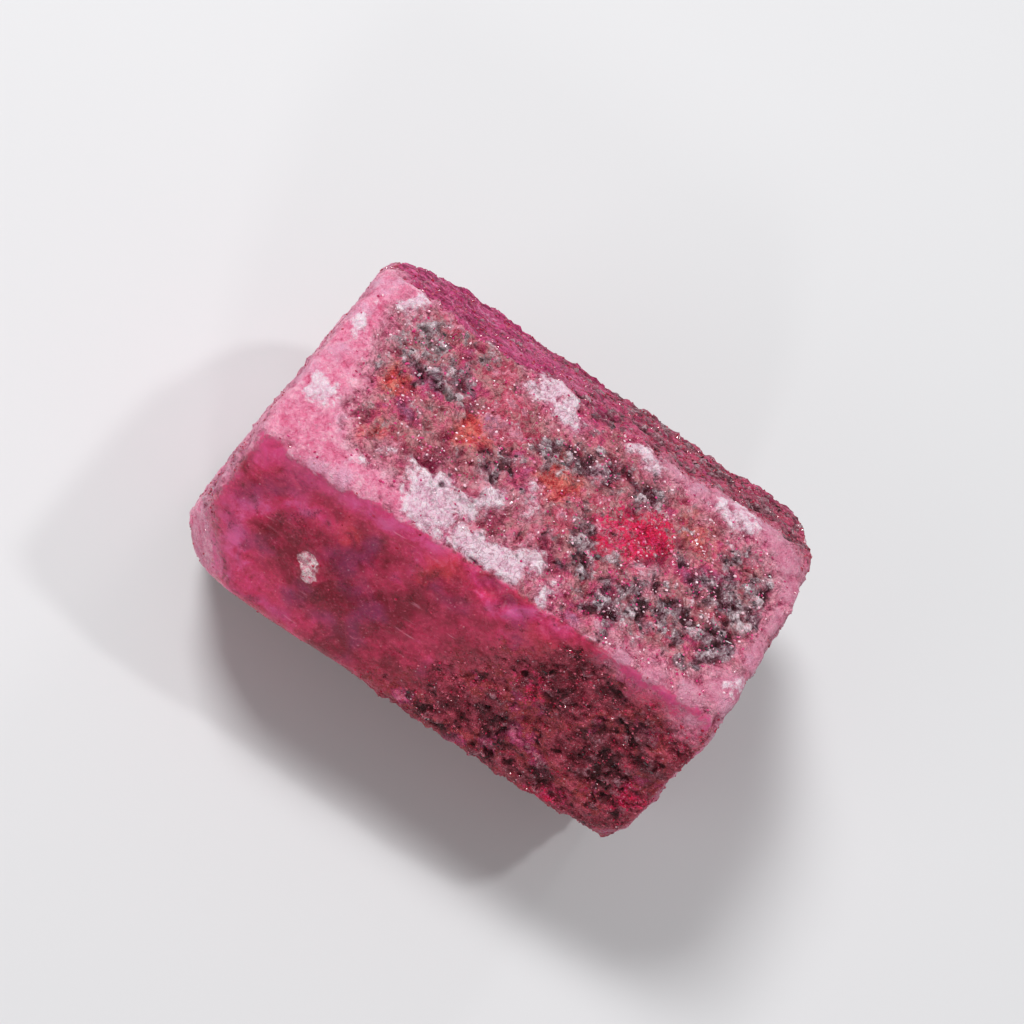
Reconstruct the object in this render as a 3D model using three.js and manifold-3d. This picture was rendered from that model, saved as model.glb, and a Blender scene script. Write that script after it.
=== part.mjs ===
// A raw ruby crystal: one six-sided barrel of corundum, parted across both ends, with worn
// ridges and a few knocked corners. It lies on its lowest prism face, its long axis along X.
// Millimetres, +Z up, origin under the middle of the crystal.

import * as THREE from 'three';
import { mergeVertices } from 'three/addons/utils/BufferGeometryUtils.js';
import Module from 'manifold-3d';

const wasm = await Module();
wasm.setup();

// ---- driving dimensions -------------------------------------------------------------------

const APOTHEM = 13;          // from the long axis to a prism face
const HALF_LENGTH = 18.6;    // from the middle of the long axis to either end
const RIDGE_WEAR = 0.18;     // how far wear has taken a long ridge back
const RIM_WEAR = 0.25;       // the same, on the rims of the two ends
const BLOCK = 90;            // the uncut block, and every cutting block

// The six prism faces, in order round the axis. `turn` is the face's angle about the axis, from
// the top towards the front; `out` is its distance from the axis, less or more than the apothem;
// `taper` tips the face towards the right-hand end. Angles are in degrees.
const PRISM_FACES = [
  { name: 'top', turn: 0, out: 0, taper: -1.2 },
  { name: 'front_upper', turn: 60, out: -0.1, taper: -0.6 },
  { name: 'front_lower', turn: 116, out: -0.1, taper: -0.8 },
  { name: 'rest', turn: 180, out: 0, taper: 0 },
  { name: 'back_lower', turn: 241, out: -0.2, taper: -1.6 },
  { name: 'back_upper', turn: 305, out: 0, taper: 0.3 },
];

// The two ends. `yaw` turns the end's outward direction to the back, and `pitch` turns it up.
const END_FACES = [
  { name: 'left_end', side: -1, out: 0.3, yaw: 3.5, pitch: 5 },
  { name: 'right_end', side: 1, out: -0.3, yaw: -1.2, pitch: 0.3 },
];

// Corners and rims that were knocked off: the faces that met there, and the depth that is gone.
const CHIPS = [
  { at: ['front_upper', 'front_lower', 'left_end'], depth: 2.9 },
  { at: ['front_lower', 'left_end'], depth: 1.8 },
  { at: ['front_lower', 'rest', 'left_end'], depth: 3.0 },
  { at: ['back_upper', 'back_lower', 'left_end'], depth: 2.1 },
  { at: ['top', 'back_upper', 'left_end'], depth: 0.7 },
  { at: ['top', 'front_upper', 'right_end'], depth: 0.9 },
  { at: ['top', 'back_upper', 'right_end'], depth: 1.2 },
  { at: ['front_upper', 'front_lower', 'right_end'], depth: 1.4 },
  { at: ['back_lower', 'rest', 'right_end'], depth: 1.5 },
];

// ---- planes -------------------------------------------------------------------------------

const MIDDLE = new THREE.Vector3(0, 0, APOTHEM);
const rad = THREE.MathUtils.degToRad;

// A plane is kept as its outward direction and its distance from the crystal's middle.
function prismPlane({ turn, out, taper }) {
  const across = Math.cos(rad(taper));
  const normal = new THREE.Vector3(
    Math.sin(rad(taper)),
    -Math.sin(rad(turn)) * across,
    Math.cos(rad(turn)) * across,
  );
  return { normal, distance: APOTHEM + out };
}

function endPlane({ side, out, yaw, pitch }) {
  const level = Math.cos(rad(pitch));
  const normal = new THREE.Vector3(
    side * Math.cos(rad(yaw)) * level,
    Math.sin(rad(yaw)) * level,
    Math.sin(rad(pitch)),
  );
  return { normal, distance: HALF_LENGTH + out };
}

// The plane that takes `depth` off the edge or the corner where the given planes meet.
function wornPlane(planes, depth) {
  const sum = new THREE.Vector3();
  let reach = 0;
  for (const plane of planes) {
    sum.add(plane.normal);
    reach += plane.distance;
  }
  const distance = reach / sum.length() - depth;
  return { normal: sum.normalize(), distance };
}

// ---- solids -------------------------------------------------------------------------------

function toManifold(geometry) {
  const bare = geometry.clone();
  bare.deleteAttribute('normal');
  bare.deleteAttribute('uv');
  const merged = mergeVertices(bare);
  const vertProperties = new Float32Array(merged.attributes.position.array);
  const triVerts = new Uint32Array(merged.index.array);
  return new wasm.Manifold(new wasm.Mesh({ numProp: 3, vertProperties, triVerts }));
}

function toGeometry(manifold) {
  const mesh = manifold.getMesh();
  const geometry = new THREE.BufferGeometry();
  geometry.setAttribute('position', new THREE.BufferAttribute(mesh.vertProperties, 3));
  geometry.setIndex(new THREE.BufferAttribute(mesh.triVerts, 1));
  return geometry;
}

// A block whose near face lies on the plane, so that it takes away all that is outside.
function cuttingBlock({ normal, distance }) {
  const block = new THREE.BoxGeometry(BLOCK, BLOCK, BLOCK);
  const facing = new THREE.Quaternion().setFromUnitVectors(new THREE.Vector3(0, 0, 1), normal);
  const centre = MIDDLE.clone().addScaledVector(normal, distance + BLOCK / 2);
  block.applyQuaternion(facing);
  block.translate(centre.x, centre.y, centre.z);
  return toManifold(block);
}

// ---- the crystal --------------------------------------------------------------------------

function crystalPlanes() {
  const named = {};
  for (const face of PRISM_FACES) {
    named[face.name] = prismPlane(face);
  }
  for (const end of END_FACES) {
    named[end.name] = endPlane(end);
  }
  const planes = Object.values(named);
  PRISM_FACES.forEach((face, i) => {
    const next = PRISM_FACES[(i + 1) % PRISM_FACES.length];
    planes.push(wornPlane([named[face.name], named[next.name]], RIDGE_WEAR));
    for (const end of END_FACES) {
      planes.push(wornPlane([named[face.name], named[end.name]], RIM_WEAR));
    }
  });
  for (const chip of CHIPS) {
    planes.push(wornPlane(chip.at.map((name) => named[name]), chip.depth));
  }
  return planes;
}

function crystalGeometry() {
  const block = new THREE.BoxGeometry(BLOCK, BLOCK, BLOCK);
  block.translate(MIDDLE.x, MIDDLE.y, MIDDLE.z);
  let solid = toManifold(block);
  for (const plane of crystalPlanes()) {
    solid = solid.subtract(cuttingBlock(plane));
  }
  const geometry = toGeometry(solid);
  geometry.computeBoundingBox();
  const middle = geometry.boundingBox.getCenter(new THREE.Vector3());
  geometry.translate(-middle.x, -middle.y, -geometry.boundingBox.min.z);
  return geometry;
}

const ruby = new THREE.MeshStandardMaterial({ color: 0xa83a66, roughness: 0.55, metalness: 0 });

const crystal = new THREE.Mesh(crystalGeometry(), ruby);
crystal.name = 'ruby_crystal';

const object = new THREE.Group();
object.add(crystal);

export default object;
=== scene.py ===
"""A raw ruby crystal lying on one of its six prism faces.

The crystal is cut from a block by the planes of its faces, meshed evenly, weathered by a relief
modifier and finished with two stones: clear glossy ruby and a grainy skin of mica, frosting and
rust. Loose mica flakes and ruby grains sit in that skin. The scene is in metres. Names and lists
that describe the crystal are in millimetres.
"""

import math

import bpy
from mathutils import Matrix, Vector


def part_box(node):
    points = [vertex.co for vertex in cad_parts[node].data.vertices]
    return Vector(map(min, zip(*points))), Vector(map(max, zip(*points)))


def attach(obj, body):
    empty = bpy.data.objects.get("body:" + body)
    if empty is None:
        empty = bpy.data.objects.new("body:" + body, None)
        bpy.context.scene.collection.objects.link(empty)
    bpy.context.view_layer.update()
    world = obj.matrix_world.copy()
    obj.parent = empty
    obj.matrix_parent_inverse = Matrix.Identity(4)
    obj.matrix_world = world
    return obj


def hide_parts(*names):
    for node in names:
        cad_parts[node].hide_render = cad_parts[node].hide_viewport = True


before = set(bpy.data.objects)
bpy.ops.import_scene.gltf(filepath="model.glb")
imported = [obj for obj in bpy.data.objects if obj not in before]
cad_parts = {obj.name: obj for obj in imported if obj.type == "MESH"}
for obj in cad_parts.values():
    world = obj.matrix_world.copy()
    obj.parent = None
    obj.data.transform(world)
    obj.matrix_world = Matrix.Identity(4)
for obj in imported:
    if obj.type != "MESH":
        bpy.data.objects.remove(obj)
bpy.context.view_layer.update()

MM = 0.001
NODE = "ruby_crystal"
low_corner, high_corner = (Vector(corner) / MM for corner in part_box(NODE))

# ---- the crystal's shape, millimetres and degrees -------------------------------------------

APOTHEM = 13.0          # from the long axis to a prism face
HALF_LENGTH = 18.6      # from the middle of the long axis to either end
RIDGE_WEAR = 0.18       # how far wear has taken a long ridge back
RIM_WEAR = 0.25         # the same, on the rims of the two ends
BLOCK = 60.0            # the uncut block
MESH_STEP = 0.2         # spacing of the even mesh before it is thinned
MESH_TRIANGLES = 188000
RIDGE_BLUR = 20         # rounds of averaging that wear the ridges
END_BLUR = 80           # the same, at the rounder ends

# Each prism face: its angle about the axis, from the top towards the front; how far it stands
# out past the apothem; and how far it tips towards the right-hand end.
PRISM_FACES = {
    "top": (0, 0.0, -1.2),
    "front_upper": (60, -0.1, -0.6),
    "front_lower": (116, -0.1, -0.8),
    "rest": (180, 0.0, 0.0),
    "back_lower": (241, -0.2, -1.6),
    "back_upper": (305, 0.0, 0.3),
}

# Each end: which side it is on, how far it stands out, its turn to the back and its tip upwards.
END_FACES = {
    "left_end": (-1, 0.3, 3.5, 5.0),
    "right_end": (1, -0.3, -1.2, 0.3),
}

# Knocked corners and rims: the faces that met there, and the depth that is gone.
CHIPS = [
    (("front_upper", "front_lower", "left_end"), 2.9),
    (("front_lower", "left_end"), 1.8),
    (("front_lower", "rest", "left_end"), 3.0),
    (("back_upper", "back_lower", "left_end"), 2.1),
    (("top", "back_upper", "left_end"), 0.7),
    (("top", "front_upper", "right_end"), 0.9),
    (("top", "back_upper", "right_end"), 1.2),
    (("front_upper", "front_lower", "right_end"), 1.4),
    (("back_lower", "rest", "right_end"), 1.5),
]

GRAIN = 0.19            # one grain of the skin
BOOK = 0.8              # one stack of mica sheets
SPARKLE_SPACING = 0.42             # from one painted sparkle to the next
PLATE_THICKNESS = 0.16  # of a loose mica plate with a radius of 1, before it is sized
FULL_TURN = 6.3         # radians, for a direction drawn at random

# ---- what grew where, millimetres -----------------------------------------------------------
# On the top face a patch is (x, y, radius). On the front and back faces it is (x, z, radius).


def on_top(*patches):
    return [(Vector((x, y, 26.1)), radius) for x, y, radius in patches]


def on_front(*patches):
    return [(Vector((x, -7.4 - 0.577 * (26 - z), z)), radius) for x, z, radius in patches]


def on_back(*patches):
    return [(Vector((x, 6.7 + 0.7 * (26 - z), z)), radius) for x, z, radius in patches]


BLOOM = on_top(
    (-16.4, 6.2, 2.4), (-16.3, 3.6, 2.3), (-16.3, 1.0, 2.3), (-16.0, -2.0, 2.6), (-15.8, -5.0, 3.0),
    (-14.0, 7.0, 1.3), (-13.4, -6.8, 2.1), (-11.2, -7.3, 1.8), (-9.2, -7.2, 1.5), (-7.2, -7.0, 1.3),
    (-1.8, 6.8, 0.9), (7.4, 6.3, 0.9), (9.4, 6.2, 0.9), (11.4, 6.4, 1.1), (13.4, 6.2, 1.3),
    (15.4, 5.9, 1.3), (17.4, 5.2, 1.4), (18.6, 3.2, 1.2), (18.8, 0.6, 1.1), (18.6, -2.4, 1.2),
    (17.6, -5.6, 1.6), (15.6, -7.2, 1.1), (13.0, -7.4, 0.9), (10.4, -7.5, 0.8),
) + on_front(
    (-17.8, 24.0, 1.0), (-18.2, 20.6, 1.1), (-18.2, 17.4, 1.2), (-14.6, 25.3, 0.8), (-12.6, 25.7, 0.6),
    (-9.4, 25.7, 0.6), (-6.4, 25.6, 0.7), (-3.6, 25.8, 0.5), (16.8, 25.0, 0.8),
) + [
    (Vector((-17.6, -12.2, 13.4)), 2.8), (Vector((-16.2, -13.0, 10.6)), 1.8),
    (Vector((-18.4, -9.0, 7.0)), 1.8), (Vector((-17.4, 7.4, 24.0)), 2.0),
]
CHIP = on_front((-10.0, 19.0, 0.6), (-9.6, 18.3, 0.45))

FROST = on_top(
    (-13.3, 6.2, 0.9), (-13.0, 4.8, 0.5), (-15.0, 4.4, 0.4), (-15.4, -2.8, 1.1),
    (-15.8, 2.4, 0.7), (-10.6, -6.2, 0.7), (-9.1, -4.1, 0.35), (-5.6, -5.2, 1.8), (-6.6, -6.2, 1.1),
    (-6.5, -4.2, 0.9), (-4.4, -6.4, 1.2), (-2.6, -3.1, 1.1), (-3.2, -4.6, 1.0),
    (-2.4, -7.0, 1.0), (-0.8, -6.7, 1.2), (0.8, -6.2, 1.3), (2.0, -5.3, 0.9),
    (3.4, -5.7, 0.5), (4.2, -7.2, 0.6), (5.4, -7.4, 0.4), (8.0, -7.3, 0.35),
    (0.0, -2.3, 0.6), (0.2, -1.1, 0.5), (-2.6, 5.9, 1.1), (-0.6, 5.3, 0.9),
    (-3.9, 6.6, 0.8), (4.9, 5.8, 0.8), (6.1, 5.6, 0.7), (11.6, 5.7, 0.8),
    (12.8, 5.4, 1.0), (14.0, 5.7, 0.6), (17.7, -4.6, 0.4), (9.2, -1.8, 0.6),
)

MICA = on_top(
    (-13.8, 0.4, 0.9), (-13.4, 3.0, 0.7), (-11.2, 5.0, 1.0), (-10.9, 3.8, 0.8),
    (-9.3, 2.1, 1.1), (-8.2, 3.2, 0.8), (-9.2, -1.4, 1.0), (-7.1, 1.1, 0.8),
    (-13.4, -3.4, 0.5), (-12.6, -3.0, 0.4), (-7.6, 5.4, 0.7), (-3.7, -1.1, 0.8),
    (-2.5, 0.0, 0.8), (-0.4, 1.8, 1.0), (1.0, 2.1, 0.8), (2.2, 2.8, 1.1),
    (3.7, 3.0, 1.0), (6.9, 3.0, 1.1), (5.6, 3.7, 0.7), (4.5, -2.0, 1.0),
    (4.2, -0.8, 0.7), (5.5, -3.8, 0.8), (7.5, -5.1, 0.9), (8.4, -5.4, 0.9),
    (9.8, -3.9, 1.1), (11.4, -2.4, 0.8), (12.4, 0.0, 0.6), (13.8, 2.6, 0.9),
    (14.8, 0.0, 1.4), (15.3, -2.9, 1.5), (13.4, -3.2, 1.0), (16.8, -0.7, 1.0),
    (15.7, -4.2, 1.1), (16.6, 1.5, 1.1), (17.0, 3.2, 0.8),
) + on_front(
    (-12.2, 20.6, 1.0), (-8.0, 17.8, 1.0), (-10.6, 19.9, 0.9), (-7.0, 18.6, 0.7), (2.2, 14.6, 1.0),
    (4.0, 14.0, 0.9), (7.0, 16.8, 1.2), (7.6, 13.9, 0.9), (8.0, 24.0, 0.8), (11.4, 23.8, 1.3),
    (9.2, 21.2, 1.3), (14.6, 22.2, 1.5), (12.4, 20.2, 1.0), (14.4, 18.2, 1.9), (11.4, 15.4, 1.1),
    (17.0, 23.2, 0.9), (16.0, 20.4, 1.0),
) + on_back(
    (4.2, 16.0, 1.2), (5.5, 18.4, 1.0), (8.4, 20.3, 0.8), (9.2, 20.1, 0.8), (0.6, 20.8, 0.8),
    (11.4, 18.4, 1.3), (14.0, 21.6, 1.2), (-3.0, 16.5, 0.9), (12.4, 23.2, 0.8), (-6.0, 21.0, 0.7),
)

RUST = on_top(
    (-11.8, 0.1, 1.2), (-12.6, -4.0, 0.8), (-14.4, -4.7, 0.6), (-11.0, -3.2, 0.7),
    (-5.6, 0.0, 1.3), (1.0, 0.6, 1.6), (13.2, 2.6, 0.6), (10.8, 2.9, 0.9),
) + on_front((4.6, 24.0, 1.2), (-2.4, 24.4, 1.3), (-13.6, 24.6, 0.9), (-9.0, 22.6, 0.8))

BLUSH = on_top(
    (8.0, 0.9, 1.4), (6.4, 0.7, 0.8), (8.2, -0.8, 0.8), (5.4, -1.3, 0.6), (7.2, 2.0, 0.5),
) + on_front(
    (13.4, 25.4, 0.9), (16.6, 23.9, 0.8), (16.8, 17.4, 0.9), (12.4, 13.9, 0.9), (7.2, 20.6, 0.6),
)

# Crimson hollows between the lumps of the top face: sunk in the relief, and painted dark crimson as shade.
FURROWS = on_top(
    (-6.9, 2.1, 0.5), (-6.7, 1.0, 0.5), (-6.2, -1.1, 0.6), (-5.5, -1.9, 0.6), (-6.5, -2.9, 0.6),
    (-4.6, -0.5, 0.5), (-8.0, -3.2, 0.5), (5.4, 3.4, 0.5), (6.4, 1.6, 0.4), (9.0, -0.4, 0.5),
    (2.4, -3.4, 0.5), (3.0, -4.2, 0.5), (-1.2, -4.4, 0.4), (10.2, 1.8, 0.4), (-12.8, 2.0, 0.4),
)

# Where mica is more common between its patches.
MURK = on_top(
    (13.0, -2.4, 3.4), (9.0, -4.4, 2.6), (15.0, -4.0, 2.6), (15.6, 1.4, 2.6), (-10.2, 2.6, 2.4),
    (2.6, 2.6, 2.0), (5.0, -2.4, 2.0), (-3.0, -0.4, 1.5),
)

# Hollows: pits at the top of the front face, and a slit in the back that runs along the crystal.
PITS = on_front((0.8, 25.0, 0.8), (2.4, 24.8, 0.6))
PIT_DEPTH = 0.35
SLIT = on_back((8.7, 20.3, 0.5))
SLIT_DEPTH = 1.3
SLIT_SHAPE = (0.35, 1.0, 1.0)     # the slit is longer along x, where this is under 1

# The glossy front: it fills the face above a slanting line, and a strip along the ridge.
GLOSS_LINE_LOW = (-1.0, 13.6)     # x and z of the line's lower end
GLOSS_LINE_SLOPE = 1.4
GLOSS_STRIP_Z = 24.9
GLOSS_BACK_X = 1.0                # the lower back face is glossy left of this


def colour(hex_code):
    """A linear colour from the six hex digits of an sRGB one."""
    parts = [int(hex_code[i:i + 2], 16) / 255 for i in (0, 2, 4)]
    linear = [p / 12.92 if p <= 0.04045 else ((p + 0.055) / 1.055) ** 2.4 for p in parts]
    return (*linear, 1.0)


# ---- node maths -----------------------------------------------------------------------------


class Value:
    """A socket that can be used in an expression. Each operation adds its node."""

    def __init__(self, graph, socket):
        self.graph = graph
        self.socket = socket

    def math(self, operation, *others, clamp=False):
        sockets = dict(enumerate((self, *others)))
        return self.graph.add("ShaderNodeMath", {"operation": operation, "use_clamp": clamp}, sockets)

    def __add__(self, other):
        return self.math("ADD", other)

    def __sub__(self, other):
        return self.math("SUBTRACT", other)

    def __rsub__(self, other):
        return self.graph.number(other).math("SUBTRACT", self)

    def __mul__(self, other):
        return self.math("MULTIPLY", other)

    def __truediv__(self, other):
        return self.math("DIVIDE", other)

    __radd__ = __add__
    __rmul__ = __mul__

    def output(self, name):
        """Another output of the same node."""
        return Value(self.graph, self.socket.node.outputs[name])

    def highest(self, other):
        return self.math("MAXIMUM", other)

    def lowest(self, other):
        return self.math("MINIMUM", other)

    def size(self):
        return self.math("ABSOLUTE")

    def step(self, low, high):
        """0 below low, 1 above high, smooth between. With high below low it falls instead."""
        return self.graph.add(
            "ShaderNodeMapRange", {"interpolation_type": "SMOOTHSTEP"},
            {"Value": self, "From Min": low, "From Max": high},
        )


class Graph:
    """Adds nodes to one tree, a material's or a modifier's. `place` is the point in mm."""

    def __init__(self, tree, place):
        self.tree = tree
        self.place = self.scaled(self.add(*place), 1 / MM)

    def add(self, kind, settings=None, sockets=None, out=0):
        """Adds one node: its settings first, then the values or links of its sockets."""
        node = self.tree.nodes.new(kind)
        for name, value in (settings or {}).items():
            if name == "stops":
                set_stops(node.color_ramp, value)
            else:
                setattr(node, name, value)
        for name, value in (sockets or {}).items():
            if isinstance(value, Value):
                self.tree.links.new(value.socket, node.inputs[name])
            else:
                node.inputs[name].default_value = value
        return Value(self, node.outputs[out])

    def number(self, value):
        return self.add("ShaderNodeMath", {"operation": "ADD"}, {0: value, 1: 0.0})

    def vector(self, operation, *values, out=0):
        return self.add("ShaderNodeVectorMath", {"operation": operation}, dict(enumerate(values)), out)

    def stretched(self, x, y, z):
        """The point, with each axis multiplied, so that a pattern is longer where it is under 1."""
        return self.vector("MULTIPLY", self.place, (x, y, z))

    def noise(self, size, detail=2.0, rough=0.5, at=None, twist=0.0, out=0):
        """Noise about 0 to 1 whose lumps are `size` mm across."""
        return self.add("ShaderNodeTexNoise", {"noise_dimensions": "3D"}, {
            "Vector": at or self.place, "Scale": 1 / size, "Detail": detail,
            "Roughness": rough, "Distortion": twist}, out)

    def cells(self, size, at=None, out="Distance"):
        """A cell pattern with cells `size` mm across."""
        return self.add("ShaderNodeTexVoronoi", None, {"Vector": at or self.place, "Scale": 1 / size}, out)

    def mix(self, factor, a, b, blend="MIX"):
        """Colour a, turning to b as the factor goes from 0 to 1. Each is a value or hex digits."""
        a, b = (colour(paint) if isinstance(paint, str) else paint for paint in (a, b))
        return self.add("ShaderNodeMix", {"data_type": "RGBA", "blend_type": blend, "clamp_factor": True},
                        {0: factor, 6: a, 7: b}, out=2)

    def ramp(self, factor, stops):
        return self.add("ShaderNodeValToRGB", {"stops": stops}, {"Fac": factor})

    def blurred(self, vector, rounds):
        """A point or direction averaged with its neighbours on the mesh."""
        return self.add("GeometryNodeBlurAttribute", {"data_type": "FLOAT_VECTOR"},
                        {"Value": vector, "Iterations": rounds})

    def scaled(self, vector, factor):
        return self.add("ShaderNodeVectorMath", {"operation": "SCALE"}, {0: vector, "Scale": factor})

    def moved(self, x, y, z):
        """The point, moved aside so that two patterns of one kind don't match."""
        return self.vector("ADD", self.place, (x, y, z))

    def warped(self, size, amount, at=None):
        """The point, pushed about by noise so that round things look ragged."""
        push = self.noise(size, detail=2, at=self.moved(5, 31, 13), out=1)
        push = self.scaled(self.vector("SUBTRACT", push, (0.5, 0.5, 0.5)), amount)
        return self.vector("ADD", at or self.place, push)

    def finish(self, kind, last):
        """Adds the output node and links the last value to it."""
        node = self.tree.nodes.new(kind)
        self.tree.links.new(last.socket, node.inputs[0])
        return self.tree

    def split(self, vector, axis):
        return self.add("ShaderNodeSeparateXYZ", None, {0: vector}, out="XYZ".index(axis))


def set_stops(ramp, stops):
    """Puts stops on a colour ramp, each a place and the hex digits of a colour."""
    while len(ramp.elements) < len(stops):
        ramp.elements.new(1.0)
    for element, (position, hex_code) in zip(ramp.elements, stops):
        element.position = position
        element.color = colour(hex_code)


# ---- operators ------------------------------------------------------------------------------


def deselect_all():
    if bpy.context.object and bpy.context.object.mode != "OBJECT":
        bpy.ops.object.mode_set(mode="OBJECT")
    bpy.ops.object.select_all(action="DESELECT")


def make_active(piece):
    deselect_all()
    piece.select_set(True)
    bpy.context.view_layer.objects.active = piece


def apply_modifier(piece, kind, **settings):
    """Adds a modifier to a piece and applies it."""
    make_active(piece)
    modifier = piece.modifiers.new(kind.lower(), kind)
    for name, value in settings.items():
        setattr(modifier, name, value)
    bpy.ops.object.modifier_apply(modifier=modifier.name)


def stored(graph, name):
    """A field that was stored on the mesh, read in a modifier."""
    return graph.add("GeometryNodeInputNamedAttribute", {"data_type": "FLOAT"}, {"Name": name})


def modifier_tree(name):
    """A new geometry tree with its group input and output."""
    tree = bpy.data.node_groups.new(name, "GeometryNodeTree")
    tree.interface.new_socket("Geometry", in_out="INPUT", socket_type="NodeSocketGeometry")
    tree.interface.new_socket("Geometry", in_out="OUTPUT", socket_type="NodeSocketGeometry")
    graph = Graph(tree, ("GeometryNodeInputPosition",))
    return graph, graph.add("NodeGroupInput")


# ---- the bare crystal -----------------------------------------------------------------------


def prism_plane(turn, out, taper):
    """A prism face's outward direction, and its distance from the middle of the crystal."""
    turn, taper = math.radians(turn), math.radians(taper)
    across = math.cos(taper)
    return Vector((math.sin(taper), -math.sin(turn) * across, math.cos(turn) * across)), APOTHEM + out


def end_plane(side, out, yaw, pitch):
    yaw, pitch = math.radians(yaw), math.radians(pitch)
    level = math.cos(pitch)
    return Vector((side * math.cos(yaw) * level, math.sin(yaw) * level, math.sin(pitch))), HALF_LENGTH + out


def worn_plane(planes, depth):
    """The plane that takes `depth` off the edge or corner where the given planes meet."""
    total = sum((normal for normal, _ in planes), Vector())
    reach = sum(distance for _, distance in planes) / total.length
    return total.normalized(), reach - depth


def crystal_planes():
    named = {name: prism_plane(*face) for name, face in PRISM_FACES.items()}
    named.update({name: end_plane(*end) for name, end in END_FACES.items()})
    planes = list(named.values())
    ring = list(PRISM_FACES)
    for name, following in zip(ring, ring[1:] + ring[:1]):
        planes.append(worn_plane((named[name], named[following]), RIDGE_WEAR))
        planes += [worn_plane((named[name], named[end]), RIM_WEAR) for end in END_FACES]
    planes += [worn_plane([named[name] for name in faces], depth) for faces, depth in CHIPS]
    return planes


def cut_crystal():
    """Cuts a block down to the crystal's faces, and sets it where the CAD solid lies."""
    deselect_all()
    middle = Vector((0, 0, APOTHEM))
    bpy.ops.mesh.primitive_cube_add(size=BLOCK * MM, location=middle * MM)
    crystal = bpy.context.object
    crystal.name = "ruby_crystal_skin"
    bpy.ops.object.transform_apply(location=True, rotation=True, scale=True)
    bpy.ops.object.mode_set(mode="EDIT")
    for normal, distance in crystal_planes():
        bpy.ops.mesh.select_all(action="SELECT")
        bpy.ops.mesh.bisect(plane_co=(middle + normal * distance) * MM, plane_no=normal,
                            use_fill=True, clear_outer=True)
    bpy.ops.mesh.select_all(action="SELECT")
    bpy.ops.mesh.remove_doubles(threshold=0.001 * MM)
    bpy.ops.mesh.normals_make_consistent(inside=False)
    bpy.ops.object.mode_set(mode="OBJECT")
    corners = [v.co / MM for v in crystal.data.vertices]
    cut_low = Vector(min(c[i] for c in corners) for i in range(3))
    cut_high = Vector(max(c[i] for c in corners) for i in range(3))
    shift = (low_corner + high_corner - cut_low - cut_high) / 2
    shift.z = low_corner.z - cut_low.z
    bpy.ops.transform.translate(value=shift * MM)
    bpy.ops.object.transform_apply(location=True, rotation=True, scale=True)
    apply_modifier(crystal, "REMESH", mode="VOXEL", voxel_size=MESH_STEP * MM)
    return crystal


# ---- relief ---------------------------------------------------------------------------------


def reach_inside(graph, patches, place):
    """How far inside the nearest patch a point is, in mm. Outside it is below 0."""
    reach = graph.number(-9.0)
    for centre, radius in patches:
        away = graph.vector("DISTANCE", place, centre, out=1)
        reach = reach.highest(radius - away)
    return reach


def facing(graph, normal, direction):
    """1 straight towards a direction, falling as the surface turns away."""
    return graph.vector("DOT_PRODUCT", normal, Vector(direction).normalized(), out=1)


def rounded_shape(graph, geometry):
    """Takes the sharpness off the cut ridges, and rounds the ends more, the left one the most."""
    position = graph.add("GeometryNodeInputPosition")
    worn = graph.blurred(position, RIDGE_BLUR)
    rounder = graph.blurred(position, END_BLUR)
    x = graph.split(graph.place, "X")
    rounding = x.step(-12.5, -17.0).highest(x.step(14.0, 18.0) * 0.6)
    extra = graph.scaled(graph.vector("SUBTRACT", rounder, worn), rounding)
    worn = graph.vector("ADD", worn, extra)
    return graph.add("GeometryNodeSetPosition", None, {"Geometry": geometry, "Position": worn})


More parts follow.
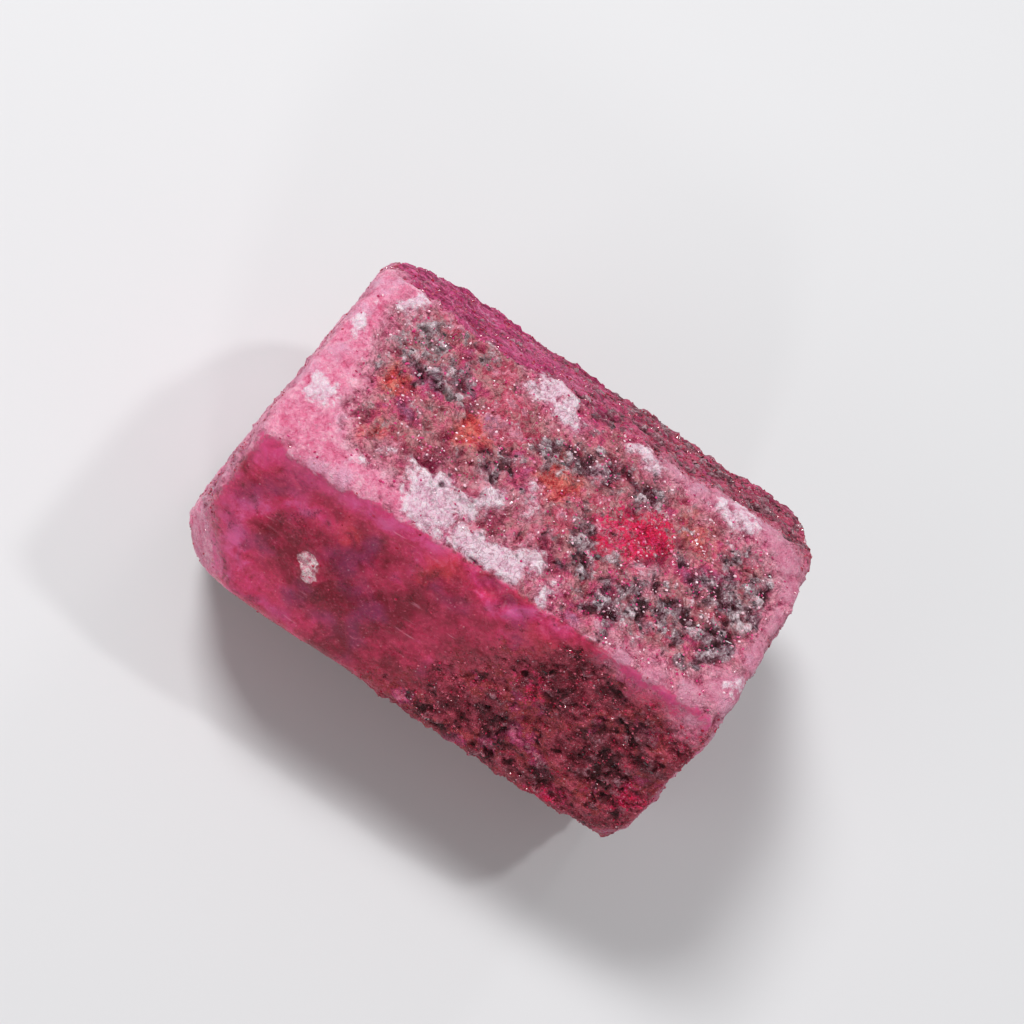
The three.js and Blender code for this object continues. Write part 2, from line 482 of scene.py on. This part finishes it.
def crystal_fields(graph):
    """What the stone is at each point: a name for each field, and its value."""
    normal = graph.add("GeometryNodeInputNormal")
    x, z = graph.split(graph.place, "X"), graph.split(graph.place, "Z")
    top = facing(graph, normal, (0, 0, 1)).step(0.80, 0.93)
    towards_front = facing(graph, normal, (0, -0.866, 0.5))
    front = towards_front.step(0.80, 0.93)
    back = facing(graph, normal, (0, 0.82, 0.57)).step(0.84, 0.95)
    under_front = facing(graph, normal, (0, -0.9, -0.44))
    under_back = facing(graph, normal, (0, 0.875, -0.485))
    ends = graph.split(normal, "X").size().step(0.6, 0.85)
    shown = top.highest(front).highest(back)
    hidden = 1 - shown

    ragged = graph.noise(1.3, detail=4, rough=0.65) - 0.5
    broad = graph.noise(6.0, detail=3, rough=0.55) - 0.5
    drift = graph.noise(3.4, detail=3, rough=0.6, at=graph.moved(40, 9, 3)) - 0.5
    bent = graph.warped(1.9, 3.4)
    bent = graph.warped(0.6, 1.5, at=bent)

    line = z - GLOSS_LINE_LOW[1] - (x - GLOSS_LINE_LOW[0]) * GLOSS_LINE_SLOPE
    strip = z - GLOSS_STRIP_Z + (broad * 3)
    glossy_front = (line * 0.38).highest(strip) + ragged * 4.5 + broad * 3.0
    below_ridge = ((under_front - 0.7) * 12).lowest((z - 8.6 + drift * 15) * 0.6)
    glossy_front = glossy_front.lowest(((towards_front - 0.88) * 14).highest(below_ridge) + ragged * 3.0)
    glossy_back = GLOSS_BACK_X - x + ragged * 7 + drift * 14
    glossy_back = glossy_back.lowest((under_back - 0.7) * 12 + ragged * 3)
    glossy_hidden = (broad - 0.13) * 14 - shown * 20
    gloss = glossy_front.highest(glossy_back).highest(glossy_hidden)

    murk = reach_inside(graph, MURK, bent).step(-1.2, 1.2)
    books = graph.noise(1.0, detail=4, rough=0.65, at=graph.moved(3, 17, 5), twist=0.5) - 0.5
    mica = reach_inside(graph, MICA, bent)
    mica = mica.highest(books * 7 - 0.95 + murk * 0.9)
    common = front * 0.4 + back * (x.step(-8, 3) * 1.35 - 0.6) + hidden * 0.3
    mica = mica.highest(books * 7 - 0.9 + common + drift * 2)
    mild = graph.warped(1.9, 1.4)
    bloom = reach_inside(graph, BLOOM, mild) + ragged * 1.2
    bloom = bloom.highest((ends - 1.1 + x.step(0, -1) * 0.12) * 6 + ragged * 4 + drift * 4.5)
    chip = reach_inside(graph, CHIP, mild) + ragged * 1.2
    gloss = gloss - chip.step(-0.3, 0.2) * 9 - bloom.step(0.1, 0.9) * 5
    mica = mica - bloom.step(-0.8, 0.2) * 3.0 - ends * 0.8 - chip.step(-0.6, 0.0) * 5.0
    frost = reach_inside(graph, FROST, bent)
    frost = frost.highest((drift * -1 - 0.2) * 3.5 - shown * 9)
    rosy = (back * (0.45 + x.step(9, -8) * 0.55)).highest(ends * (0.6 + x.step(1, -1) * 0.4))
    return {
        "top": top, "front": front, "rosy": rosy, "gloss": gloss,
        "mica": mica, "frost": frost, "bloom": bloom, "chip": chip,
        "rust": reach_inside(graph, RUST, bent).highest((drift - 0.16) * 7 - shown * 9),
        "blush": reach_inside(graph, BLUSH, bent),
        "furrow": reach_inside(graph, FURROWS, bent) + ragged,
    }, normal, ends


def relief(graph, fields, normal, ends):
    """How far the skin stands out from the flat face, in mm."""
    smooth = fields["gloss"].step(-1.4, 0.6)
    bloomed = fields["bloom"].step(-0.3, 0.6)
    frosted = fields["frost"].step(-0.3, 0.3)
    micaceous = fields["mica"].step(-0.3, 0.3)
    grainy = (1 - smooth) * (1 - bloomed * 0.8) * (1 - frosted * 0.6)

    swell = (graph.noise(7.0, detail=1) - 0.5) * 0.6
    folds = (graph.noise(2.2, detail=3, rough=0.6, at=graph.moved(8, 21, 2), twist=0.8) - 0.5).size()
    folds = folds.step(0.09, 0.0) * -0.2 * grainy * (1 - fields["front"] * 0.5)
    dents = (graph.noise(2.4, detail=3, rough=0.55) - 0.5) * (0.25 + 0.95 * grainy)
    lumps = (graph.noise(0.95, detail=3, rough=0.6) - 0.5) * (0.06 + grainy * (0.42 + fields["top"] * 0.33))
    wobbly = graph.warped(0.7, 0.6)
    grains = (0.5 - graph.cells(0.75, at=wobbly)) * 0.2 * grainy
    plates = (graph.split(graph.cells(BOOK, at=wobbly, out="Color"), "X") - 0.5) * 0.34
    plates = plates * micaceous * (1 - smooth)
    hollows = fields["rust"].step(-0.3, 0.8) * -0.14 * grainy - fields["furrow"].step(-0.7, 0.5) * 0.3
    crust = frosted * 0.14 - smooth * 0.02 + bloomed * 0.05
    steps = (graph.noise(1.0, detail=2, at=graph.stretched(0.1, 1.4, 1.4)) - 0.5) * 0.35
    steps = steps * fields["rosy"]
    ledges = (graph.noise(0.9, detail=2, at=graph.stretched(1.6, 0.15, 0.9)) - 0.5) * 0.4 * ends
    height = swell + folds + dents + lumps + grains + plates + hollows + crust + steps + ledges - 0.12
    for centre, radius in PITS:
        inside = radius - graph.vector("DISTANCE", graph.place, centre, out=1)
        height = height - inside.step(-0.25, 0.25) * PIT_DEPTH
    for centre, radius in SLIT:
        away = graph.vector("MULTIPLY", graph.vector("SUBTRACT", graph.place, centre), SLIT_SHAPE)
        height = height - (radius - graph.vector("LENGTH", away, out=1)).step(-0.15, 0.2) * SLIT_DEPTH
    flat = graph.vector("LENGTH", graph.blurred(normal, 14), out=1).step(0.86, 0.995)
    height = height * (0.3 + 0.7 * flat)
    resting = graph.split(normal, "Z").step(-0.6, -0.9)
    height = height.lowest(2 - resting * 2)
    # The second value is the relief's local height. The skin's colour uses it as painted shade, dark in the
    # hollows and light on the lumps.
    return height, height - graph.blurred(height, 12)


def weather(crystal):
    """Rounds the ridges, stores what grew where, and raises the relief."""
    graph, group_input = modifier_tree("crystal_relief")
    geometry = rounded_shape(graph, group_input)
    fields, normal, ends = crystal_fields(graph)
    height, cavity = relief(graph, fields, normal, ends)
    # Besides what grew where, the relief's local height is stored as cavity, to paint shade into the
    # colour.
    for name, value in {**fields, "cavity": cavity}.items():
        geometry = graph.add("GeometryNodeStoreNamedAttribute", {"data_type": "FLOAT", "domain": "POINT"},
                             {"Geometry": geometry, "Name": name, "Value": value})
    moved = graph.vector("ADD", graph.scaled(normal, height * MM), graph.add("GeometryNodeInputPosition"))
    moved = graph.vector("MAXIMUM", moved, (-1.0, -1.0, 0.0))     # nothing goes under the floor
    geometry = graph.add("GeometryNodeSetPosition", None, {"Geometry": geometry, "Position": moved})
    apply_modifier(crystal, "NODES", node_group=graph.finish("NodeGroupOutput", geometry))
    triangles = sum(len(face.vertices) - 2 for face in crystal.data.polygons)
    apply_modifier(crystal, "DECIMATE", ratio=min(1.0, MESH_TRIANGLES / triangles))
    make_active(crystal)
    bpy.ops.object.shade_smooth()


# ---- the stones -----------------------------------------------------------------------------


def new_material(name):
    material = bpy.data.materials.new(name)
    material.use_nodes = True
    material.node_tree.nodes.clear()
    graph = Graph(material.node_tree, ("ShaderNodeTexCoord", None, None, 3))
    return material, graph


def field(graph, name):
    return graph.add("ShaderNodeAttribute", {"attribute_name": name}, out=2)


def stone_patterns(graph):
    """The patterns that the skin's colour and its bumps share."""
    wobbly = graph.warped(0.25, 0.4)
    books = graph.warped(0.7, 0.6)
    random_book = graph.cells(BOOK, at=books, out="Color")
    turned = graph.add("ShaderNodeVectorRotate", {"rotation_type": "EULER_XYZ"}, {
        "Vector": graph.place, "Center": graph.cells(BOOK, at=books, out="Position"),
        "Rotation": graph.scaled(random_book, FULL_TURN)})
    sheets = graph.vector("MULTIPLY", turned, (0.45, 2.2, 2.2))
    sparkle_cells = graph.cells(SPARKLE_SPACING, at=graph.moved(1, 2, 3))
    chance = graph.cells(SPARKLE_SPACING, at=graph.moved(1, 2, 3), out="Color")
    return {
        "broad": graph.noise(3.2, detail=3, rough=0.6, at=graph.moved(11, 4, 8)),
        "middle": graph.noise(1.1, detail=4, rough=0.62, twist=0.4),
        "fine": graph.noise(0.34, detail=5, rough=0.75),
        "dust": graph.noise(0.15, detail=3, rough=0.75),
        "wrinkle": graph.noise(0.55, detail=4, rough=0.72, at=graph.moved(6, 1, 9), twist=1.6),
        "gap": graph.cells(GRAIN, at=wobbly).step(0.3, 0.62),
        "grain": graph.cells(GRAIN, at=wobbly, out="Color"),
        "crease": (graph.noise(1.1, detail=4, rough=0.62, at=graph.moved(4, 8, 2), twist=1.5) - 0.5).size(),
        "book": random_book,
        "streak": graph.noise(0.36, detail=3, rough=0.65, at=sheets),
        "groove": graph.noise(0.55, detail=4, rough=0.7, at=graph.stretched(0.1, 1.2, 1.2)),
        # Painted sparkle: pale specks standing in for glints.
        "painted_sparkle": sparkle_cells.step(0.2, 0.1) * graph.split(chance, "X").step(0.78, 0.82),
        # Painted shade and light from the relief: low in the hollows, high on the lumps.
        "cavity": field(graph, "cavity"),
    }


def skin_colour(graph, pattern):
    """The grainy skin: rose and dusty stone, mica, frosting, rust and blush, with painted shade in its
    cracks and hollows, and painted glints and sparkles.
    """
    fine, middle, broad = pattern["fine"], pattern["middle"], pattern["broad"]
    grain = graph.split(pattern["grain"], "X")
    wrinkle = pattern["wrinkle"]
    quiet = broad.step(0.47, 0.6) * (0.6 - field(graph, "front") * 0.35)
    # The mottle is tone that differs at random, and painted shade: it shares its noise with the bumps, so
    # it is darker where they are low, and it follows the relief shade.
    speckle = fine * 0.4 + wrinkle * 0.28 + pattern["dust"] * 0.26 - 0.47
    mottle_and_shade = speckle * (1 - quiet) + grain * 0.05 + middle * 0.18 + pattern["cavity"] * 0.6 + 0.41
    hue = broad * 0.7 + middle * 0.14 + wrinkle * 0.12 + grain * 0.04

    top_stone = graph.ramp(hue, [
        (0.36, "c87ca4"), (0.42, "d84c7c"), (0.47, "e88898"), (0.52, "cc9496"),
        (0.56, "d44c6c"), (0.61, "f09cb0"), (0.68, "c084a8")])
    side_stone = graph.ramp(hue, [
        (0.34, "6c1824"), (0.42, "a83048"), (0.49, "d45870"),
        (0.55, "b84444"), (0.61, "cc447c"), (0.7, "fca4b4")])
    rose_stone = graph.ramp(hue, [
        (0.34, "b02c68"), (0.45, "dc4888"), (0.55, "ec6ca0"),
        (0.64, "d84c8c"), (0.74, "f49cc8")])
    stone = graph.mix(field(graph, "top"), side_stone, top_stone)
    # Painted shade in the grooves of the stepped back face, and painted highlights along their ridges.
    rose_stone = graph.mix(pattern["groove"].step(0.5, 0.4) * 0.7, rose_stone, "781444")
    rose_stone = graph.mix(pattern["groove"].step(0.56, 0.64) * 0.75, rose_stone, "f8a8d0")
    stone = graph.mix(field(graph, "rosy"), stone, rose_stone)

    rust = graph.ramp(mottle_and_shade, [(0.3, "c83440"), (0.45, "f04c4c"), (0.6, "f89080")])
    rusty = (field(graph, "rust") + (fine - 0.5) * 2.5).step(-0.6, 0.7)
    stone = graph.mix(rusty * 0.9, stone, rust)
    crimson = fine * 0.6 + grain * 0.25 + pattern["dust"] * 0.15
    blush = graph.ramp(crimson, [
        (0.36, "78002c"), (0.43, "d00044"), (0.52, "f80450"), (0.64, "ff4888")])
    blushing = (field(graph, "blush") + (fine - 0.5) * 3.0 + (grain - 0.5) * 1.6).step(-0.6, 0.1)
    stone = graph.mix(blushing * 0.95, stone, blush)
    # Painted shade and random tone, multiplied over the stone: near black in the hollows and between the
    # bumps.
    tone_and_shade = graph.ramp(mottle_and_shade, [
        (0.26, "441428"), (0.35, "a06878"), (0.43, "d4b8c0"), (0.51, "f2ecee")])
    side_tone_and_shade = graph.ramp(mottle_and_shade, [
        (0.33, "240a12"), (0.4, "844858"), (0.46, "d0acb8"), (0.51, "f0e8ea")])
    tone_and_shade = graph.mix(field(graph, "front"), tone_and_shade, side_tone_and_shade)
    stone = graph.mix(1.0, stone, tone_and_shade, blend="MULTIPLY")
    # Painted glints: pale pink highlights on the front's grains.
    painted_glints = (fine * 0.6 + pattern["dust"] * 0.4).step(0.55, 0.66) * field(graph, "front")
    stone = graph.mix(painted_glints * 0.6, stone, "f8a8bc")
    near_rind = (field(graph, "bloom") + (middle - 0.5) * 2).step(-1.8, 0.0)
    near_frost = (field(graph, "frost") + (middle - 0.5) * 2).step(-1.2, 0.0) * field(graph, "top")
    softened = graph.ramp(mottle_and_shade, [(0.32, "a83c64"), (0.42, "d46c90"), (0.54, "f0a4bc")])
    stone = graph.mix((near_rind * 0.75).highest(near_frost * 0.55), stone, softened)
    # Painted shade: dark crimson in the sunk furrows.
    furrow_shade = (field(graph, "furrow") + (fine - 0.5) * 2.0).step(-0.7, 0.5)
    stone = graph.mix(furrow_shade * 0.85, stone, "86083c")
    # The rind's tone, with painted shade in its hollows from the relief shade.
    bloom = graph.ramp(middle * 0.4 + fine * 0.3 + wrinkle * 0.3 + pattern["cavity"] * 0.6, [
        (0.34, "c83c68"), (0.43, "e06c92"), (0.51, "ee90b0"), (0.62, "fab8cc")])
    bloom = graph.mix(broad.step(0.5, 0.66) * 0.5, bloom, "e8b8d4")
    dull = graph.split(graph.place, "X").step(-4.0, 6.0)
    bloom = graph.mix(dull * 0.5, bloom, "c07c94")
    bloomed = (field(graph, "bloom") + (fine - 0.5) * 1.6 + (middle - 0.5) * 1.5).step(-0.3, 0.5)
    chipped = (field(graph, "chip") + (fine - 0.5) * 1.2).step(-0.7, 0.0)
    stone = graph.mix(bloomed, stone, bloom)
    stone = graph.mix(chipped, stone, graph.mix(fine.step(0.4, 0.6), "e88ca4", "ffe4e6"))
    # The frosting's tone, with painted shade in its hollows from the relief shade.
    frost = graph.ramp(wrinkle * 0.55 + grain * 0.05 + fine * 0.4 + pattern["cavity"] * 0.6, [
        (0.31, "b0588a"), (0.39, "d894b2"), (0.46, "e8bcd0"), (0.54, "f0d4e2"),
        (0.66, "fceef4")])
    frosted = (field(graph, "frost") + (fine - 0.5) * 2.0 + (middle - 0.5) * 1.4).step(-0.3, 0.35)
    stone = graph.mix(frosted * 0.95, stone, frost)

    # The mica's tone follows its sheets, with painted light: its pale streaks are painted sheen, and the
    # relief shade paints its hollows near black.
    sheet_sheen_and_shade = pattern["streak"] * 0.6 + graph.split(pattern["book"], "X") * 0.14 + fine * 0.26
    sheet_sheen_and_shade = sheet_sheen_and_shade + pattern["cavity"] * 0.8
    pale_mica = graph.ramp(sheet_sheen_and_shade, [
        (0.36, "1a080f"), (0.42, "48202e"), (0.48, "74505e"), (0.55, "947a84"),
        (0.61, "a89aa0"), (0.71, "e8d8e0")])
    greyer = graph.split(graph.place, "X").step(-4.0, -9.0) * broad.step(0.4, 0.55)
    pale_mica = graph.mix(greyer * 0.5, pale_mica, graph.mix(fine.step(0.38, 0.6), "947e86", "d8d0d4"))
    dark_mica = graph.ramp(sheet_sheen_and_shade, [
        (0.36, "28060a"), (0.48, "541420"), (0.6, "883848"), (0.74, "b88490")])
    mica = graph.mix(field(graph, "top").highest(0.4 - field(graph, "front") * 0.4), dark_mica, pale_mica)
    micaceous = (field(graph, "mica") + (fine - 0.5) * 2.2 + (middle - 0.5) * 1.4).step(-0.5, 0.5)
    stone = graph.mix(micaceous * 0.9, stone, mica)
    calm = bloomed.highest(frosted).highest(chipped).highest(quiet * 0.7)
    # Painted shade along the creases, where the bumps sink into valleys.
    crease_shade = pattern["crease"].step(0.045, 0.004) * (0.42 - bloomed * 0.38)
    stone = graph.mix(crease_shade, stone, graph.mix(1.0, stone, "8c3458", blend="MULTIPLY"))
    # Painted sparkle: pale specks standing in for glints.
    stone = graph.mix(pattern["painted_sparkle"] * 0.6, stone, "f4d0dc")
    return stone, micaceous, calm


def ruby_colour(graph, pattern):
    """The clear ruby: crimson with cloudy veils, a pink edge, an orange glow and dark bits inside."""
    cloud = graph.noise(4.4, detail=3, rough=0.55, twist=0.6, at=graph.moved(2, 6, 1))
    veil = graph.noise(1.7, detail=4, rough=0.62, twist=1.0)
    fine = pattern["fine"]
    x, z = graph.split(graph.place, "X"), graph.split(graph.place, "Z")
    rim = ((z - 22.5).step(0, 3.5) * 0.8).highest((-9.0 - x).step(0, 6.0))
    depth = cloud * 0.75 + veil * 0.5 + fine * 0.22 + rim * 0.17 - 0.29
    ruby = graph.ramp(depth, [
        (0.36, "800a28"), (0.45, "a81e44"), (0.54, "c8305a"), (0.62, "dc3c74"),
        (0.74, "e864a0")])
    violet = graph.noise(3.6, detail=2, at=graph.moved(9, 2, 14)).step(0.5, 0.66)
    ruby = graph.mix(violet * 0.4, ruby, "a44480")
    glow = (field(graph, "rust") + (veil - 0.5) * 4).step(-0.8, 1.2)
    ruby = graph.mix(glow * 0.5, ruby, "dc4430")
    murky = (field(graph, "mica") + (veil - 0.5) * 3.0).step(-0.6, 0.9)
    ruby = graph.mix(murky * 0.55, ruby, "74101e")
    edged = (field(graph, "bloom") + (veil - 0.5) * 2.0).step(-1.4, 0.3)
    ruby = graph.mix(edged * 0.6, ruby, "e05894")
    flaw = pattern["dust"]
    fleck = (flaw * 0.5 + fine * 0.5).step(0.54, 0.64)
    ruby = graph.mix(fleck * 0.28, ruby, "f08ca4")
    specks = (flaw * 0.5 + veil * 0.25 + pattern["middle"] * 0.25 - murky * 0.13).step(0.41, 0.35)
    ruby = graph.mix(specks * 0.6, ruby, "480818")
    near_skin = (field(graph, "gloss") + (veil - 0.5) * 3).step(2.4, -0.4) * field(graph, "front")
    ruby = graph.mix(near_skin * 0.5, ruby, graph.mix(fine.step(0.4, 0.6), "701020", "c04058"))
    ruby = graph.mix(field(graph, "rosy") * 0.7, ruby, "8c1450")
    thread = graph.noise(0.5, detail=2, at=graph.stretched(0.14, 1.0, 1.0))
    patchy = graph.noise(3.0, detail=1, at=graph.moved(7, 3, 5)).step(0.48, 0.6)
    ruby = graph.mix(thread.step(0.68, 0.74) * patchy * 0.4, ruby, "f8a0b8")
    # Painted sparkle: pale specks standing in for glints.
    return graph.mix(pattern["painted_sparkle"] * 0.25, ruby, "f4b8c8")


def ruby_material():
    material, graph = new_material("ruby_stone")
    pattern = stone_patterns(graph)
    fine, middle = pattern["fine"], pattern["middle"]
    skin, micaceous, calm = skin_colour(graph, pattern)
    ruby = ruby_colour(graph, pattern)
    glossy = (field(graph, "gloss") + (fine - 0.5) * 6.0 + (middle - 0.5) * 3.0).step(-0.9, 0.9)

    rough_height = fine * 0.42 + pattern["dust"] * 0.1 + middle * 0.25 + pattern["wrinkle"] * 0.35
    rough_height = rough_height + pattern["groove"] * field(graph, "rosy") * 0.4
    rough_height = rough_height - pattern["gap"] * (0.12 - calm * 0.06)
    rough_height = rough_height - pattern["crease"].step(0.05, 0.0) * (0.12 - calm * 0.09)
    bumped = graph.add("ShaderNodeBump", None, {
        "Strength": 1.0, "Distance": 0.4 * MM, "Height": rough_height})
    tilt = graph.vector("SUBTRACT", pattern["grain"], (0.5, 0.5, 0.5))
    tilt = graph.scaled(tilt, 0.75 - (calm * 0.4).highest(field(graph, "rosy") * 0.6))
    book_tilt = graph.vector("SUBTRACT", pattern["book"], (0.5, 0.5, 0.5))
    tilt = graph.vector("ADD", tilt, graph.scaled(book_tilt, micaceous * 0.5))
    faceted = graph.vector("NORMALIZE", graph.vector("ADD", bumped, tilt))
    shiny = graph.split(pattern["grain"], "Z").step(0.6, 0.7) * (1 - field(graph, "rosy") * 0.6)
    skin_rough = 0.6 - shiny * 0.38 - micaceous * 0.08
    skin_shader = graph.add("ShaderNodeBsdfPrincipled", None, {
        "Base Color": skin, "Roughness": skin_rough, "Normal": faceted, "IOR": 1.5,
        "Specular IOR Level": 0.32,
        "Subsurface Weight": 0.15, "Subsurface Radius": (1.0, 0.35, 0.45),
        "Subsurface Scale": 0.5 * MM})
    ripple = graph.noise(0.9, detail=3, rough=0.6) * 0.7 + fine * 0.12
    rippled = graph.add("ShaderNodeBump", None, {
        "Strength": 0.6, "Distance": 0.15 * MM, "Height": ripple})
    ruby_shader = graph.add("ShaderNodeBsdfPrincipled", None, {
        "Base Color": ruby, "Roughness": 0.24 + (middle - 0.4) * 0.5, "Normal": rippled, "IOR": 1.6,
        "Specular IOR Level": 0.25,
        "Subsurface Weight": 0.5, "Subsurface Radius": (1.0, 0.25, 0.4),
        "Subsurface Scale": 1.2 * MM})
    surface = graph.add("ShaderNodeMixShader", None, {0: glossy, 1: skin_shader, 2: ruby_shader})
    graph.finish("ShaderNodeOutputMaterial", surface)
    return material


# ---- loose flakes and grains ----------------------------------------------------------------


def scattered(crystal, name, shape, crowding, chance, sizes, lean, seed):
    """Small pieces sunk in the crystal's skin: `shape` adds one, `chance` says where they lie.

    The crowding is how many lie on a square millimetre where they are common.
    """
    make_active(crystal)
    bpy.ops.object.duplicate()
    piece = bpy.context.object
    piece.name = name
    graph, group_input = modifier_tree(name)
    known = {field_name: stored(graph, field_name)
             for field_name in ("gloss", "mica", "bloom", "frost", "top")}
    clear_of_floor = graph.split(graph.place, "Z").step(0.6, 1.0)
    clumps = graph.noise(1.4, detail=3, rough=0.6, at=graph.moved(seed, 0, 0)).step(0.42, 0.62)
    density = chance(known) * clear_of_floor * (0.15 + clumps * 1.2) * crowding / MM ** 2
    points = graph.add("GeometryNodeDistributePointsOnFaces", {"distribute_method": "RANDOM"}, {
        "Mesh": group_input, "Density": density, "Seed": seed})
    tilt = graph.add("FunctionNodeRandomValue", {"data_type": "FLOAT_VECTOR"}, {
        0: (-lean,) * 3, 1: (lean,) * 3})
    upward = graph.vector("ADD", points.output("Normal"), tilt)
    turn = graph.add("FunctionNodeAlignRotationToVector", {"axis": "Z"}, {"Vector": upward})
    smallest, largest = sizes
    size = graph.add("FunctionNodeRandomValue", {"data_type": "FLOAT_VECTOR"}, {
        0: smallest, 1: largest, "Seed": seed + 1})
    placed = graph.add("GeometryNodeInstanceOnPoints", None, {
        "Points": points, "Instance": shape(graph), "Rotation": turn, "Scale": size})
    tone = graph.add("FunctionNodeRandomValue", {"data_type": "FLOAT"}, {"Seed": seed + 2}, out=1)
    placed = graph.add("GeometryNodeStoreNamedAttribute", {"data_type": "FLOAT", "domain": "INSTANCE"},
                       {"Geometry": placed, "Name": "tone", "Value": tone})
    joined = graph.add("GeometryNodeRealizeInstances", None, {"Geometry": placed})
    apply_modifier(piece, "NODES", node_group=graph.finish("NodeGroupOutput", joined))
    bpy.ops.object.shade_flat()
    return piece


def hexagonal_plate(graph):
    return graph.add("GeometryNodeMeshCylinder", None, {
        "Vertices": 6, "Radius": MM, "Depth": PLATE_THICKNESS * MM})


def small_crystal(graph):
    return graph.add("GeometryNodeMeshIcoSphere", None, {"Radius": MM, "Subdivisions": 1})


def mica_chance(known):
    bare = known["gloss"].step(0.2, -0.8) * known["frost"].step(0.0, -0.5)
    return known["mica"].step(-0.2, 0.6) * bare * (0.3 + 0.4 * known["top"])


def grain_chance(known):
    calm = known["bloom"].step(-0.4, 0.4).highest(known["frost"].step(-0.4, 0.4)) * 0.88
    return (1 - calm) * (known["gloss"].step(1.0, -0.8) * 0.96 + 0.04)


def flake_material(name, stops, roughness, dark):
    """A smooth flake, its colour set by the random tone of each and darker off the top face."""
    material, graph = new_material(name)
    paint = graph.ramp(field(graph, "tone"), stops)
    side = graph.mix(1.0, paint, dark, blend="MULTIPLY")
    paint = graph.mix(field(graph, "top"), side, paint)
    shader = graph.add("ShaderNodeBsdfPrincipled", None, {
        "Base Color": paint, "Roughness": roughness, "IOR": 1.6})
    graph.finish("ShaderNodeOutputMaterial", shader)
    return material


def add_flakes(crystal):
    plates = scattered(
        crystal, "mica_flakes", hexagonal_plate, crowding=4.0, chance=mica_chance,
        sizes=((0.05, 0.03, 0.2), (0.26, 0.13, 0.45)), lean=0.8, seed=11)
    plates.data.materials.clear()
    plates.data.materials.append(flake_material(
        "mica_flake", [(0.0, "1c0c12"), (0.5, "402832"), (0.8, "6c5460"), (0.97, "b8a4b0")],
        roughness=0.3, dark="c85068"))
    grains = scattered(
        crystal, "ruby_grains", small_crystal, crowding=4.0, chance=grain_chance,
        sizes=((0.03, 0.03, 0.03), (0.15, 0.12, 0.1)), lean=0.8, seed=23)
    grains.data.materials.clear()
    grains.data.materials.append(flake_material(
        "ruby_grain", [(0.0, "b01850"), (0.3, "d83c80"), (0.6, "e484a4"), (0.85, "f8d4e0")],
        roughness=0.12, dark="cc7484"))
    for piece in (plates, grains):
        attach(piece, "root")


# ---- stage ----------------------------------------------------------------------------------


def plain_material(name, base, roughness):
    material = bpy.data.materials.new(name)
    material.use_nodes = True
    shader = material.node_tree.nodes["Principled BSDF"]
    shader.inputs["Base Color"].default_value = base
    shader.inputs["Roughness"].default_value = roughness
    return material


def lay_floor():
    deselect_all()
    bpy.ops.mesh.primitive_plane_add(size=FLOOR_SIZE, location=(0, 0, 0))
    floor = bpy.context.object
    floor.name = "floor"
    floor.data.materials.append(plain_material("pale_floor", colour("d8d8da"), 0.7))


FLOOR_SIZE = 4.0               # metres
WORLD_STRENGTH = 0.25

# Each light: its direction from the crystal, its distance and size in metres, and its watts.
LIGHTS = {
    "key_light": ((-0.45, 0.28, 0.84), 0.5, 0.13, 1.82),
    "fill_light": ((-0.6, -0.7, 0.5), 0.6, 0.3, 0.5),
    "glint_light": ((0.35, 0.3, 0.9), 0.4, 0.03, 0.3),
    "front_glint": ((0.25, -0.8, 0.55), 0.4, 0.05, 0.16),
    "back_glint": ((0.1, 0.9, 0.42), 0.4, 0.05, 0.12),
    "right_light": ((0.92, -0.2, 0.35), 0.6, 0.35, 0.24),
}


def soft_light(name, direction, distance, size, power):
    """A square soft light that faces the crystal."""
    lamp = bpy.data.lights.new(name, "AREA")
    lamp.size = size
    lamp.energy = power
    holder = bpy.data.objects.new(name, lamp)
    away = Vector(direction).normalized()
    holder.location = Vector((0, 0, APOTHEM * MM)) + away * distance
    holder.rotation_euler = away.to_track_quat("Z", "Y").to_euler()
    bpy.context.scene.collection.objects.link(holder)


def light_stage():
    world = bpy.data.worlds.new("studio")
    world.use_nodes = True
    background = world.node_tree.nodes["Background"]
    background.inputs["Color"].default_value = (1.0, 1.0, 1.0, 1.0)
    background.inputs["Strength"].default_value = WORLD_STRENGTH
    bpy.context.scene.world = world
    for name, light in LIGHTS.items():
        soft_light(name, *light)


CAMERA_DISTANCE = 150.0        # millimetres from the aim
CAMERA_AIM = (0.33, 2.35, 13.0)
CAMERA_LEAN = 23.0             # degrees from straight down, towards the front
CAMERA_SIDE = 3.6              # degrees towards the left end
CAMERA_ROLL = 33.4             # how far the long axis runs down to the right
CAMERA_LENS = 72.9


def place_camera():
    lean, side, roll = (math.radians(a) for a in (CAMERA_LEAN, CAMERA_SIDE, CAMERA_ROLL))
    back = Vector((-math.sin(side), -math.sin(lean) * math.cos(side), math.cos(lean) * math.cos(side)))
    level = Vector((1, 0, 0)) - back * back.x
    level.normalize()
    rise = back.cross(level)
    right = level * math.cos(roll) + rise * math.sin(roll)
    up = rise * math.cos(roll) - level * math.sin(roll)
    turn = Matrix((right, up, back)).transposed().to_4x4()
    lens = bpy.data.cameras.new("camera")
    lens.lens = CAMERA_LENS
    lens.clip_start = 0.005
    camera = bpy.data.objects.new("camera", lens)
    camera.matrix_world = Matrix.Translation((Vector(CAMERA_AIM) + back * CAMERA_DISTANCE) * MM) @ turn
    bpy.context.scene.collection.objects.link(camera)
    bpy.context.scene.camera = camera


# ---- build ----------------------------------------------------------------------------------

place_camera()
lay_floor()
light_stage()

crystal = cut_crystal()
weather(crystal)
crystal.data.materials.clear()
crystal.data.materials.append(ruby_material())
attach(crystal, "root")
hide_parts(NODE)
add_flakes(crystal)

bpy.context.scene.view_settings.view_transform = "Standard"

deselect_all()
